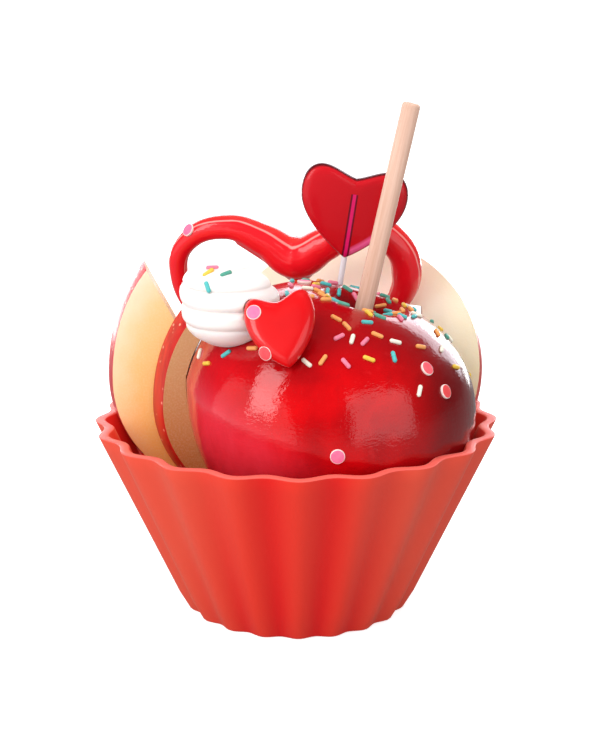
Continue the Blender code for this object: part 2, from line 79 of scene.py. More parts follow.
# A slice's middle on its cut face, then its half width, its heights above and below, the half
# depth of the apple that it comes from, and how far behind the cut that apple's middle lies.
OUTER_CENTRE = Vector((-0.0200, 0.0015, 0.0583))
OUTER_SIZES = (0.0299, 0.0424, 0.0310, 0.0340, 0.0140)
INNER_CENTRE = Vector((-0.0085, -0.0055, 0.0530))
INNER_SIZES = (0.0315, 0.0402, 0.0312, 0.0320, 0.0190)
BACK_CENTRE = Vector((0.0128, 0.0318, 0.0545))
BACK_SIZES = (0.0407, 0.0365, 0.0365, 0.0400, -0.0060)
BACK_FACING = Vector((0.55, 1.0, -0.40)).normalized()

# The planes that end a slice: a spot's x and z, and the way that is cut off.
OUTER_CUTS = ((-0.0177, 0.0286, 0.88, 0.47), (-0.0105, 0.0, 1.0, 0.0))
INNER_CUTS = ((-0.0060, 0.0, 1.0, 0.0), (-0.0205, 0.0263, 0.62, 0.78))
BACK_CUTS = ((0.0, 0.0, -0.32, -0.95),)
NOTCH_SIDE = 0.1
NOTCH_RIGHT = 0.0340
NOTCH_TOP = 0.0725

SPRINKLE_RADIUS = 0.00055
SPRINKLE_LENGTH = 0.0031
APPLE_SPRINKLES = 106
CONFETTI_RADIUS = 0.00175
CONFETTI_THICKNESS = 0.0007
CONFETTI_EDGE = 0.00016
STRAND_SINK = 0.00018
DISC_SINK = 0.0001
STRAND_ROOM = 0.0025
DISC_ROOM = 0.0030
RIM_ROOM = 0.004
# The scattered strands begin at this share of the apple's profile, and most lie near to it. None
# is scattered below the front line between two turns, where each strand has its own place.
CROWD_START = 0.055
CROWD_SPAN = 0.34
CROWDING = 2.3
FRONT_LINE = 0.19
FRONT_TURNS = (-3.0, -0.3)

LOLLY_FOOT = Vector((0.0122, 0.0090, 0.0886))
LOLLY_AXIS = Vector((0.143, -0.150, 1.0)).normalized()
LOLLY_STICK_RADIUS = 0.00075
LOLLY_BELOW = 0.0200
LOLLY_STICK_ABOVE = 0.0170
LOLLY_RISE = 0.0128
LOLLY_SIZES = (0.0136, 0.0140, 0.0024)

# A heart's fullness, the fill of its cleft, and its softness.
LOLLY_HEART = (1.7, 0.10, 0.16)
SWEET_HEART = (1.45, 0.11, 0.36)

CREAM_CENTRE = Vector((-0.0158, -0.0205, 0.0840))
CREAM_RADIUS = 0.0119
CREAM_HEIGHT = 0.0215
CREAM_LAYERS = 4.6
CREAM_BELLY = 0.45
CREAM_CURL = 0.0030
CREAM_PLACE = Matrix.Translation(CREAM_CENTRE) @ Matrix.Rotation(math.radians(-4), 4, "Y")

SWEET_CENTRE = Vector((-0.0032, -0.0350, 0.0803))
SWEET_SIZES = (0.0083, 0.0105, 0.0028)
SWEET_PLACE = (
    Matrix.Translation(SWEET_CENTRE)
    @ Matrix.Rotation(math.radians(-9), 4, "Z")
    @ Matrix.Rotation(math.radians(-27), 4, "X")
    @ Matrix.Rotation(math.radians(-14.5), 4, "Y")
)


# Colours are given as they look, and turned to light values here.
def tone(red, green, blue):
    def light(value):
        value /= 255
        return value / 12.92 if value <= 0.04045 else ((value + 0.055) / 1.055) ** 2.4

    return (light(red), light(green), light(blue), 1.0)


SHADER = "Principled BSDF"


def grey(value):
    return (value, value, value, 1.0)


def add_node(tree, kind, **settings):
    node = tree.nodes.new(kind)
    for name, value in settings.items():
        setattr(node, name, value)
    return node


def mix(tree, share, first, second, blend="MIX"):
    """A colour mix whose share, first and second may be sockets or values."""
    node = add_node(tree, "ShaderNodeMix", data_type="RGBA", blend_type=blend)
    for index, value in ((0, share), (6, first), (7, second)):
        if isinstance(value, bpy.types.NodeSocket):
            tree.links.new(value, node.inputs[index])
        else:
            node.inputs[index].default_value = value
    return node.outputs[2]


def ramp(tree, source, stops, interpolation="LINEAR"):
    node = add_node(tree, "ShaderNodeValToRGB")
    node.color_ramp.interpolation = interpolation
    ends = node.color_ramp.elements
    while len(ends) < len(stops):
        ends.new(0.5)
    for end, (position, colour) in zip(ends, stops):
        end.position = position
        end.color = colour if isinstance(colour, tuple) else grey(colour)
    tree.links.new(source, node.inputs["Fac"])
    return node.outputs["Color"]


def noise(tree, vector, scale, detail=2.0, rough=0.5, distortion=0.0):
    node = add_node(tree, "ShaderNodeTexNoise")
    node.inputs["Scale"].default_value = scale
    node.inputs["Detail"].default_value = detail
    node.inputs["Roughness"].default_value = rough
    node.inputs["Distortion"].default_value = distortion
    tree.links.new(vector, node.inputs["Vector"])
    return node.outputs["Fac"]


def mapped(tree, vector, place=(0, 0, 0), turn=(0, 0, 0), scale=(1, 1, 1), kind="POINT"):
    node = add_node(tree, "ShaderNodeMapping", vector_type=kind)
    node.inputs["Location"].default_value = place
    node.inputs["Rotation"].default_value = turn
    node.inputs["Scale"].default_value = scale
    tree.links.new(vector, node.inputs["Vector"])
    return node.outputs["Vector"]


def maths(tree, operation, first, second=0.0):
    node = add_node(tree, "ShaderNodeMath", operation=operation)
    for index, value in ((0, first), (1, second)):
        if isinstance(value, bpy.types.NodeSocket):
            tree.links.new(value, node.inputs[index])
        else:
            node.inputs[index].default_value = value
    return node.outputs[0]


def times(tree, first, second):
    return maths(tree, "MULTIPLY", first, second)


def bump(tree, height, strength, distance):
    node = add_node(tree, "ShaderNodeBump")
    node.inputs["Strength"].default_value = strength
    node.inputs["Distance"].default_value = distance
    tree.links.new(height, node.inputs["Height"])
    return node.outputs["Normal"]


def material(name, **values):
    """A material with its node tree and its Object coordinates."""
    made = bpy.data.materials.new(name)
    made.use_nodes = True
    tree = made.node_tree
    for socket, value in values.items():
        tree.nodes[SHADER].inputs[socket.replace("_", " ")].default_value = value
    where = add_node(tree, "ShaderNodeTexCoord").outputs["Object"]
    return made, tree, where


def feed(tree, source, socket):
    """Joins a value to a socket of the material's shader."""
    tree.links.new(source, tree.nodes[SHADER].inputs[socket])


def dress(made, colour, height, strength, distance):
    """Gives a material its colour and its relief."""
    tree = made.node_tree
    feed(tree, colour, "Base Color")
    feed(tree, bump(tree, height, strength, distance), "Normal")
    return made


def attribute(tree, name, output="Fac"):
    return add_node(tree, "ShaderNodeAttribute", attribute_name=name).outputs[output]


def fine_relief():
    """Shared by the moulded, cut and sugared pieces: a mottle for colour and a fine grain for
    relief, both from the piece's own coordinates."""
    group = bpy.data.node_groups.new("fine_relief", "ShaderNodeTree")
    for name, way, kind in (
        ("Vector", "INPUT", "NodeSocketVector"),
        ("Mottle Scale", "INPUT", "NodeSocketFloat"),
        ("Grain Scale", "INPUT", "NodeSocketFloat"),
        ("Mottle", "OUTPUT", "NodeSocketFloat"),
        ("Grain", "OUTPUT", "NodeSocketFloat"),
    ):
        group.interface.new_socket(name, in_out=way, socket_type=kind)
    entry = add_node(group, "NodeGroupInput")
    leave = add_node(group, "NodeGroupOutput")
    for scale, output, detail in (("Mottle Scale", "Mottle", 3.0), ("Grain Scale", "Grain", 4.0)):
        node = add_node(group, "ShaderNodeTexNoise")
        node.inputs["Detail"].default_value = detail
        group.links.new(entry.outputs["Vector"], node.inputs["Vector"])
        group.links.new(entry.outputs[scale], node.inputs["Scale"])
        group.links.new(node.outputs["Fac"], leave.inputs[output])
    return group


RELIEF = fine_relief()


def relief(tree, vector, mottle, grain):
    node = add_node(tree, "ShaderNodeGroup", node_tree=RELIEF)
    node.inputs["Mottle Scale"].default_value = mottle
    node.inputs["Grain Scale"].default_value = grain
    tree.links.new(vector, node.inputs["Vector"])
    return node.outputs["Mottle"], node.outputs["Grain"]


def axis_value(tree, vector, axis):
    parts = add_node(tree, "ShaderNodeSeparateXYZ")
    tree.links.new(vector, parts.inputs[0])
    return parts.outputs[axis]


def reach_of(tree, vector):
    """How long a vector is."""
    node = add_node(tree, "ShaderNodeVectorMath", operation="LENGTH")
    tree.links.new(vector, node.inputs[0])
    return node.outputs["Value"]


def along_axis(tree, where, axis, start, end):
    """0 to 1 from start to end along an axis of the piece, with soft ends."""
    node = add_node(tree, "ShaderNodeMapRange", interpolation_type="SMOOTHSTEP")
    node.inputs["From Min"].default_value = start
    node.inputs["From Max"].default_value = end
    tree.links.new(axis_value(tree, where, axis), node.inputs["Value"])
    return node.outputs["Result"]


def silicone():
    """Moulded silicone: painted highlights on the flutes' crests, painted shade in the furrows,
    which run deeper red towards the bottom, a painted sheen that makes both sides paler, and a rim
    whose top face is painted paler.
    """
    made, tree, where = material(
        "red_silicone",
        Roughness=0.46,
        Specular_IOR_Level=0.3,
        Sheen_Weight=0.12,
        Sheen_Roughness=0.45,
        Sheen_Tint=tone(255, 190, 160),
    )
    crest = attribute(tree, "crest")
    mottle, grain = relief(tree, where, 45.0, 1500.0)
    low = along_axis(tree, where, "Z", 0.030, 0.004)
    furrow_shade = mix(tree, low, tone(220, 20, 14), tone(218, 5, 10))
    # Painted highlight and painted shade: the flutes' crests are painted paler and the furrows
    # redder.
    wall = mix(tree, crest, furrow_shade, tone(228, 50, 32))
    # Painted sheen: both sides of the cup are painted paler and more orange.
    aside = times(tree, maths(tree, "ABSOLUTE", axis_value(tree, where, "X")), 20.0)
    wall = mix(tree, ramp(tree, aside, ((0.22, 0.0), (0.56, 0.85))), wall, tone(225, 84, 60))
    wall = mix(tree, times(tree, mottle, 0.25), wall, tone(228, 40, 30))
    # Painted light: the rim's top face is painted paler than the wall.
    rim = mix(tree, attribute(tree, "rim"), wall, tone(235, 96, 86))
    colour = mix(tree, attribute(tree, "inside"), rim, tone(224, 34, 25))
    return dress(made, colour, grain, 0.12, 0.0001)


def toffee():
    """Clear red toffee: deep mottled red under a hard gloss, with painted shade to the right, over
    the top and round the dimple, a painted pink reflection at the left and a paler one at the lower
    left, darker towards the bottom, with slow ripples and fine tears that fray its reflections."""
    made, tree, where = material(
        "red_toffee", Roughness=0.35, Specular_IOR_Level=0.03, Coat_Weight=1.0, Coat_Roughness=0.02
    )
    mottle, grain = relief(tree, where, 75.0, 320.0)
    depth = ramp(
        tree,
        mottle,
        ((0.30, tone(168, 2, 9)), (0.50, tone(197, 2, 9)), (0.70, tone(214, 4, 11))),
    )
    run = mapped(tree, where, scale=(150, 150, 55))
    streak = noise(tree, run, 1.0, 5.0, 0.62, 0.6)
    colour = mix(tree, ramp(tree, streak, ((0.56, 0.0), (0.72, 0.35))), depth, tone(160, 8, 14))
    colour = mix(tree, ramp(tree, grain, ((0.64, 0.0), (0.76, 0.22))), colour, tone(232, 48, 52))
    # Painted reflection: a pinker tint towards the left.
    left = along_axis(tree, where, "X", -0.004, -0.026)
    colour = mix(tree, times(tree, left, 0.55), colour, tone(186, 14, 34))
    # Painted shade: the toffee darkens towards the right.
    right = along_axis(tree, where, "X", 0.016, 0.040)
    colour = mix(tree, times(tree, right, 0.92), colour, tone(94, 4, 8))
    low = along_axis(tree, where, "Z", 0.058, 0.040)
    colour = mix(tree, times(tree, low, 0.55), colour, tone(146, 12, 22))
    # Painted reflection: a paler pink patch at the lower left, frayed by the streaks.
    slant = mapped(tree, where, turn=(0, math.radians(-24), 0))
    painted_reflection = along_axis(tree, slant, "Z", 0.054, 0.044)
    painted_reflection = times(tree, painted_reflection, along_axis(tree, where, "X", 0.012, -0.014))
    painted_reflection = times(tree, painted_reflection, ramp(tree, streak, ((0.35, 0.85), (0.65, 0.55))))
    colour = mix(tree, painted_reflection, colour, tone(214, 52, 68))
    # Painted shade: darker over the top of the toffee.
    top_shade = along_axis(tree, where, "Z", 0.068, 0.078)
    colour = mix(tree, times(tree, top_shade, 0.60), colour, tone(130, 4, 12))
    # Painted shade: darker still round the dimple.
    upright = mapped(tree, where, APPLE_CENTRE, (0, APPLE_LEAN, 0), kind="TEXTURE")
    aside = reach_of(tree, mapped(tree, upright, scale=(100, 100, 0)))
    dimple_shade = ramp(tree, aside, ((0.60, 0.85), (1.05, 0.0)))
    colour = mix(tree, dimple_shade, colour, tone(96, 2, 8))
    feed(tree, colour, "Base Color")
    slow = noise(tree, where, 38.0, 2.0, 0.5, 0.3)
    tear = noise(tree, mapped(tree, where, scale=(620, 620, 1500)), 1.0, 3.0, 0.6, 0.4)
    height = maths(tree, "ADD", slow, times(tree, streak, 0.16))
    height = maths(tree, "ADD", height, times(tree, tear, 0.085))
    lie = bump(tree, height, 0.55, 0.0012)
    feed(tree, lie, "Normal")
    feed(tree, lie, "Coat Normal")
    return made


def glaze(name, deep, bright, across=None):
    """Clear red glaze. Where across is given, the colour runs to it at the sides of the piece as
    painted light through the thin edges, and a pale painted highlight line winds between."""
    made, tree, where = material(
        name, Roughness=0.3, Specular_IOR_Level=0.25, Coat_Weight=0.65, Coat_Roughness=0.04
    )
    mottle, grain = relief(tree, where, 60.0, 260.0)
    colour = mix(tree, ramp(tree, mottle, ((0.35, 0.0), (0.7, 1.0))), deep, bright)
    if across:
        side = attribute(tree, "across")
        # Painted light: the sides of the tube run to the paler across colour, as light through the
        # thin glaze.
        colour = mix(tree, ramp(tree, side, ((0.45, 0.0), (0.95, 0.9))), colour, across)
        # Painted highlight: a pale line winds along the tube between its sides.
        sway = times(tree, maths(tree, "SUBTRACT", mottle, 0.5), 0.5)
        wander = maths(tree, "ADD", side, sway)
        highlight_line = ramp(
            tree, wander, ((0.41, 0.0), (0.47, 0.65), (0.52, 0.65), (0.58, 0.0)), "EASE"
        )
        colour = mix(tree, highlight_line, colour, tone(252, 176, 168))
    return dress(made, colour, grain, 0.08, 0.0003)


def wood():
    """Pale birch: long fibres and short dark flecks along the stick."""
    made, tree, where = material("pale_birch", Roughness=0.62)
    along = mapped(tree, where, turn=(0, -STICK_LEAN, 0))
    fibre = noise(tree, mapped(tree, along, scale=(1500, 1500, 38)), 1.0, 3.0, 0.55)
    broad = noise(tree, mapped(tree, along, scale=(300, 300, 12)), 1.0, 2.0, 0.5)
    fleck = noise(tree, mapped(tree, along, scale=(2600, 2600, 260)), 1.0, 1.0, 0.5)
    colour = ramp(tree, fibre, ((0.30, tone(203, 160, 138)), (0.70, tone(226, 190, 171))))
    colour = mix(tree, times(tree, broad, 0.35), colour, tone(222, 177, 153))
    colour = mix(tree, ramp(tree, fleck, ((0.66, 0.0), (0.74, 0.5))), colour, tone(203, 152, 126))
    return dress(made, colour, fibre, 0.25, 0.0002)


def flesh(name, tones, centre, radii, span, turn=(0, 0, 0)):
    """Cut apple: three tones from the core to the skin, and a warmer, darker one multiplied in over
    a span of height as painted shade and painted red bounce light low down, with a fine grain and
    pale specks."""
    core, middle, edge, lower = tones
    foot, head = span
    made, tree, where = material(
        name, Roughness=0.42, Subsurface_Weight=0.12, Subsurface_Radius=(0.004, 0.002, 0.001)
    )
    ring = reach_of(tree, mapped(tree, where, centre, turn, radii, "TEXTURE"))
    mottle, grain = relief(tree, where, 220.0, 2000.0)
    sway = times(tree, maths(tree, "SUBTRACT", mottle, 0.5), 0.16)
    ring = maths(tree, "ADD", ring, sway)
    colour = ramp(tree, ring, ((0.25, core), (0.70, middle), (0.97, edge)))
    # Painted shade and painted red bounce light: the lower tone is multiplied in towards the foot of
    # the slice.
    low_shade = add_node(tree, "ShaderNodeMapRange")
    for socket, value in (("From Min", foot), ("From Max", head), ("To Min", 1.0), ("To Max", 0.0)):
        low_shade.inputs[socket].default_value = value
    tree.links.new(axis_value(tree, where, "Z"), low_shade.inputs["Value"])
    colour = mix(tree, low_shade.outputs["Result"], colour, lower, "MULTIPLY")
    speck = ramp(tree, grain, ((0.44, 0.0), (0.68, 0.15)))
    colour = mix(tree, speck, colour, mix(tree, 0.5, middle, tone(255, 250, 235)))
    return dress(made, colour, grain, 0.14, 0.0003)


def skin(name, deep, bright, coat=0.25):
    """Apple skin: streaked red with small pale pores."""
    made, tree, where = material(name, Roughness=0.36, Coat_Weight=coat, Coat_Roughness=0.15)
    streak = noise(tree, mapped(tree, where, scale=(420, 420, 60)), 1.0, 3.0, 0.55)
    colour = mix(tree, ramp(tree, streak, ((0.35, 0.0), (0.68, 1.0))), deep, bright)
    pores = add_node(tree, "ShaderNodeTexVoronoi", feature="F1")
    pores.inputs["Scale"].default_value = 420.0
    tree.links.new(where, pores.inputs["Vector"])
    dots = ramp(tree, pores.outputs["Distance"], ((0.08, 0.8), (0.20, 0.0)))
    colour = mix(tree, dots, colour, tone(240, 176, 150))
    return dress(made, colour, streak, 0.15, 0.0002)


def cream_finish():
    """Whipped cream, a little darker in its folds as painted shade."""
    made, tree, where = material(
        "whipped_cream",
        Roughness=0.5,
        Subsurface_Weight=0.35,
        Subsurface_Radius=(0.006, 0.005, 0.004),
        Subsurface_Scale=0.6,
    )
    mottle, grain = relief(tree, where, 160.0, 900.0)
    colour = mix(tree, mottle, tone(240, 235, 231), tone(247, 243, 240))
    # Painted shade in the folds of the swirl.
    fold = times(tree, attribute(tree, "fold"), 0.8)
    colour = mix(tree, fold, colour, tone(224, 214, 211))
    return dress(made, colour, grain, 0.10, 0.0002)


def lolly_finish(place):
    """Boiled sugar with its stick showing through the middle, a dark, thick edge and a painted pink
    highlight along the lower right edge. place is where the lolly's own frame lies."""
    made, tree, where = material(
        "lolly_red", Roughness=0.4, Specular_IOR_Level=0.2, Coat_Weight=0.3, Coat_Roughness=0.03
    )
    mottle, grain = relief(tree, where, 50.0, 300.0)
    local = mapped(tree, where, place.translation, place.to_euler(), kind="TEXTURE")
    body = mix(tree, mottle, tone(188, 3, 20), tone(202, 6, 24))
    low = along_axis(tree, local, "X", -0.002, 0.006)
    body = mix(tree, times(tree, low, 0.35), body, tone(170, 6, 22))
    reach = attribute(tree, "reach")
    body = mix(tree, ramp(tree, reach, ((0.955, 0.0), (0.985, 1.0))), body, tone(84, 4, 14))
    # Painted highlight: a pink band near the edge at the lower right.
    edge_highlight = ramp(tree, reach, ((0.72, 0.0), (0.82, 1.0), (0.92, 1.0), (0.96, 0.0)))
    glow = times(tree, edge_highlight, along_axis(tree, local, "Z", -0.0005, -0.0045))
    glow = times(tree, glow, along_axis(tree, local, "X", 0.0, 0.0015))
    body = mix(tree, glow, body, tone(236, 92, 148))
    aside = times(tree, maths(tree, "ABSOLUTE", axis_value(tree, local, "X")), 500.0)
    span = maths(tree, "LESS_THAN", axis_value(tree, local, "Z"), 0.0056)
    dark = times(tree, ramp(tree, aside, ((0.38, 1.0), (0.50, 0.0))), span)
    body = mix(tree, dark, body, tone(92, 4, 24))
    light = times(tree, ramp(tree, aside, ((0.16, 1.0), (0.28, 0.0))), span)
    body = mix(tree, light, body, tone(220, 20, 100))
    return dress(made, body, grain, 0.05, 0.0003)


def paper():
    """Rolled white paper with a fine grain."""
    made, tree, where = material("white_paper", Roughness=0.55)
    mottle, grain = relief(tree, where, 300.0, 2600.0)
    colour = mix(tree, mottle, tone(226, 220, 228), tone(246, 244, 247))
    return dress(made, colour, grain, 0.2, 0.0001)


def sugar_finish():
    """Sugar strands and confetti faces take their colours from the piece's own attribute."""
    made, tree, where = material("coloured_sugar", Roughness=0.5)
    mottle, grain = relief(tree, where, 900.0, 2400.0)
    colour = attribute(tree, "tint", "Color")
    colour = mix(tree, times(tree, mottle, 0.12), colour, tone(255, 244, 236))
    return dress(made, colour, grain, 0.15, 0.0001)


def confetti_edge():
    """The paler rim and back of the confetti."""
    made, tree, where = material("pale_sugar", Roughness=0.5)
    mottle, grain = relief(tree, where, 900.0, 2400.0)
    colour = mix(tree, mottle, tone(236, 205, 198), tone(250, 232, 226))
    return dress(made, colour, grain, 0.15, 0.0001)


def placed(name, data):
    """A new object in the scene."""
    made = bpy.data.objects.new(name, data)
    bpy.context.scene.collection.objects.link(made)
    return made


def object_of(name, bm):
    """A new object whose mesh a bmesh is turned into."""
    mesh = bpy.data.meshes.new(name)
    bm.to_mesh(mesh)
    bm.free()
    return placed(name, mesh)


def piece(name, bm, finishes, nodes=(), smooth=40):
    """Puts a finished bmesh in the scene as a piece that stands for its nodes."""
    made = object_of(name, bm)
    for finish in finishes:
        made.data.materials.append(finish)
    made.data.shade_smooth()
    made.data.set_sharp_from_angle(angle=math.radians(smooth))
    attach(made, "root")
    if nodes:
        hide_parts(*nodes)


def outward(bm):
    bmesh.ops.recalc_face_normals(bm, faces=bm.faces)
    return bm


def frame_at(point, normal, along):
    """A matrix with +Z on the normal and +X on the given direction, made square to it."""
    z = normal.normalized()
    x = (along - along.dot(z) * z).normalized()
    turn = Matrix((x, z.cross(x), z)).transposed()
    return Matrix.Translation(point) @ turn.to_4x4()


def evaluated(item):
    """An object's mesh with its modifiers applied."""
    bpy.context.view_layer.update()
    graph = bpy.context.evaluated_depsgraph_get()
    return bpy.data.meshes.new_from_object(item.evaluated_get(graph))


def back_to_bmesh(mesh):
    fresh = bmesh.new()
    fresh.from_mesh(mesh)
    bpy.data.meshes.remove(mesh)
    return fresh


def carve(bm, tools):
    """Takes the shapes of the tools, each a bmesh, out of a bmesh."""
    work = object_of("carved", bm)
    made = [work]
    for index, tool in enumerate(tools):
        step = work.modifiers.new(f"carve_{index}", "BOOLEAN")
        step.operation = "DIFFERENCE"
        step.object = object_of("tool", tool)
        made.append(step.object)
    result = evaluated(work)
    for item in made:
        bpy.data.objects.remove(item, do_unlink=True)
    return drop_scraps(back_to_bmesh(result))


def drop_scraps(fresh):
    """Keeps only the largest of the loose bodies in a bmesh."""
    islands = []
    left = set(fresh.verts)
    while left:
        stack = [left.pop()]
        island = list(stack)
        while stack:
            for edge in stack.pop().link_edges:
                for vert in edge.verts:
                    if vert in left:
                        left.remove(vert)
                        island.append(vert)
                        stack.append(vert)
        islands.append(island)
    islands.sort(key=len)
    for island in islands[:-1]:
        bmesh.ops.delete(fresh, geom=island, context="VERTS")
    return fresh


def cup_shape(segments, grow=0.0):
    """The wall is extruded row by row: up the outside, over the rim and down the inside. A row is
    a height, a radius or else a distance from the wall's slope, a share of the flutes' depth and
    a side: 0 outside, 1 rim, 2 inside."""
    edge = CUP_FOOT_EDGE
    top = CUP_HEIGHT + grow
    inner = -CUP_WALL - grow
    rows = [(-grow, CUP_BASE_RADIUS - edge + grow, 0.8, 0)]
    for i in range(1, 5):
        turn = math.pi / 2 * i / 5
        rise = edge * (1 - math.cos(turn))
        rows.append((rise, CUP_BASE_RADIUS - edge * (1 - math.sin(turn)) + grow, 0.9, 0))
    for i in range(1, 13):
        rows.append((edge + (top - CUP_RIM_EDGE - edge) * i / 12, grow, 1.0, 0))
    for drop, reach in (
        (0.0001, grow - 0.0001),
        (0.0, grow - CUP_RIM_EDGE),
        (0.0, (inner + grow) / 2),
        (0.0, inner + CUP_RIM_EDGE),
        (0.0001, inner + 0.0001),
    ):
        rows.append((top - drop, reach, 1.0, 1))
    rows.append((top - CUP_RIM_EDGE, inner, 1.0, 2))
    for i in range(1, 9):
        rows.append((top + (CUP_FLOOR + 0.0025 - top) * i / 8, inner, 1.0, 2))
    for out, up in ((0.0005, 0.0012), (0.0013, 0.0004), (0.0030, 0.0)):
        rows.append((CUP_FLOOR + grow + up, inner - out, 0.5, 2))
    bm = bmesh.new()
    crest = bm.verts.layers.float.new("crest")
    rim = bm.verts.layers.float.new("rim")
    inside = bm.verts.layers.float.new("inside")
    ring = bmesh.ops.create_circle(bm, segments=segments, radius=1.0)["verts"]
    angles = [math.atan2(vert.co.y, vert.co.x) for vert in ring]

    def place(verts, row):
        z, radius, share, side = row
        part = z / CUP_HEIGHT
        if radius < 0.01:
            radius += CUP_BASE_RADIUS + (CUP_RIM_RADIUS - CUP_BASE_RADIUS) * part
        depth = share * (FLUTE_DEPTH_BASE + (FLUTE_DEPTH_RIM - FLUTE_DEPTH_BASE) * part)
        for vert, angle in zip(verts, angles):
            wave = math.cos(FLUTES * (angle + math.pi / 2 - FLUTE_TURN))
            reach = radius + depth * wave
            vert.co = (reach * math.cos(angle), reach * math.sin(angle), z)
            # crest carries the painted highlight on the crests and the painted shade in the furrows.
            vert[crest] = 0.5 + 0.5 * wave
            # rim carries the painted light on the rim's top face.
            vert[rim] = 1.0 if side == 1 else 0.0
            vert[inside] = 1.0 if side == 2 else 0.0

    place(ring, rows[0])
    bmesh.ops.contextual_create(bm, geom=ring)
    for row in rows[1:]:
        level = set(ring)
        edges = {edge for vert in ring for edge in vert.link_edges if level.issuperset(edge.verts)}
        grown = bmesh.ops.extrude_edge_only(bm, edges=list(edges))["geom"]
        fresh = {vert for vert in grown if isinstance(vert, bmesh.types.BMVert)}
        ring = [
            next(edge.other_vert(vert) for edge in vert.link_edges if edge.other_vert(vert) in fresh)
            for vert in ring
        ]
        place(ring, row)
    bmesh.ops.contextual_create(bm, geom=ring)
    return outward(bm)


def apple_point(t, grow=0.0):
    """Radius, height and normal of the apple's profile at t from 0, the dimple, to 1."""

    def raw(u):
        angle = math.pi * u
        s = max(math.sin(angle), 0.0) ** (2 / APPLE_FULLNESS)
        c = math.copysign(abs(math.cos(angle)) ** (2 / APPLE_FULLNESS), math.cos(angle))
        r = APPLE_RADIUS * s
        z = APPLE_HALF_HEIGHT * c
        if z < 0:
            r *= 1 - APPLE_TAPER * -z / APPLE_HALF_HEIGHT
            z += BASE_DIMPLE_DEPTH * math.exp(-((r / BASE_DIMPLE_RADIUS) ** 2))
        else:
            z -= DIMPLE_DEPTH * math.exp(-((r / DIMPLE_RADIUS) ** 2))
        return r, z

    r, z = raw(t)
    r0, z0 = raw(max(t - PROFILE_STEP, 0.0))
    r1, z1 = raw(min(t + PROFILE_STEP, 1.0))
    size = math.hypot(r1 - r0, z1 - z0)
    normal = ((z0 - z1) / size, (r1 - r0) / size)
    if t in (0, 1):
        normal = (0.0, 1.0 if t == 0 else -1.0)
    return r + grow * normal[0], z + grow * normal[1], normal


def apple_shape(rows, steps, grow=0.0):
    """The profile, from the top down, is spun about the apple's own leaning axis."""
    bm = bmesh.new()
    last = None
    for i in range(rows + 1):
        r, z, _ = apple_point(i / rows, grow)
        vert = bm.verts.new((max(r, 0.0) if 0 < i < rows else 0.0, 0, z))
        if last:
            bm.edges.new((last, vert))
        last = vert
    bmesh.ops.spin(
        bm,
        geom=bm.verts[:] + bm.edges[:],
        cent=(0, 0, 0),
        axis=(0, 0, 1),
        angle=2 * math.pi,
        steps=steps,
        use_merge=True,
    )
    bmesh.ops.remove_doubles(bm, verts=bm.verts, dist=0.00001)
    bmesh.ops.transform(bm, matrix=APPLE_PLACE, verts=bm.verts)
    return outward(bm)


def apple_frame(t, turn, spin, sink):
    """Where a topping lies on the toffee: on the profile at t, turned about the apple's axis."""
    r, z, (nr, nz) = apple_point(t)
    around = Matrix.Rotation(turn, 3, "Z")
    normal = around @ Vector((nr, 0, nz))
    tangent = around @ Vector((-nz, 0, nr))
    side = normal.cross(tangent)
    along = math.cos(spin) * tangent + math.sin(spin) * side
    point = around @ Vector((r, 0, z)) + normal * sink
    return APPLE_PLACE @ frame_at(point, normal, along)


def level_edges(bm):
    """The edges that run round an upright rod or disc, at its ends."""
    return [edge for edge in bm.edges if abs(edge.verts[0].co.z - edge.verts[1].co.z) < 1e-6]


def rod_shape(start, direction, length, radius, segments, rounded=0.0):
    """A round stick from start, its ends rounded by a radius."""
    bm = bmesh.new()
    bmesh.ops.create_cone(
        bm, cap_ends=True, segments=segments, radius1=radius, radius2=radius, depth=length
    )
    if rounded:
        bmesh.ops.bevel(
            bm,
            geom=level_edges(bm),
            offset=rounded,
            segments=6,
            profile=0.5,
            affect="EDGES",
            material=-1,
        )
    middle = start + direction * (length / 2)
    turn = direction.to_track_quat("Z", "Y").to_matrix().to_4x4()
    bmesh.ops.transform(bm, matrix=Matrix.Translation(middle) @ turn, verts=bm.verts)
    return outward(bm)


def slice_shape(centre, sizes, thickness, turn, cuts):
    """An apple's side is cut to a flat slice by bisecting planes, whose faces are flesh."""
    wide, up, down, deep, offset = sizes
    bm = bmesh.new()
    bmesh.ops.create_uvsphere(bm, u_segments=192, v_segments=96, radius=1.0)
    for vert in bm.verts:
        tall = up if vert.co.z > 0 else down
        vert.co = (vert.co.x * wide, vert.co.y * deep + offset, vert.co.z * tall)
    for face in bm.faces:
        face.material_index = 1
    planes = [((0, 0, 0), (0, -1, 0)), ((0, thickness, 0), (0, 1, 0))]
    planes += [((x, 0, z), (dx, 0, dz)) for x, z, dx, dz in cuts]
    for point, away in planes:
        geom = bm.verts[:] + bm.edges[:] + bm.faces[:]
        found = bmesh.ops.bisect_plane(
            bm, geom=geom, plane_co=point, plane_no=away, dist=0.000001, clear_outer=True
        )["geom_cut"]
        edges = [item for item in found if isinstance(item, bmesh.types.BMEdge)]
        for face in bmesh.ops.holes_fill(bm, edges=edges, sides=0)["faces"]:
            face.material_index = 0
    bmesh.ops.transform(bm, matrix=Matrix.Translation(centre) @ turn.to_4x4(), verts=bm.verts)
    return outward(bm)


def notch_shape():
    """The square corner that the back slice lacks, where the ring stands."""
    bm = bmesh.new()
    bmesh.ops.create_cube(bm, size=NOTCH_SIDE)
    middle = (NOTCH_RIGHT - NOTCH_SIDE / 2, 0.03, NOTCH_TOP - NOTCH_SIDE / 2)
    bmesh.ops.translate(bm, vec=middle, verts=bm.verts)
    return bm


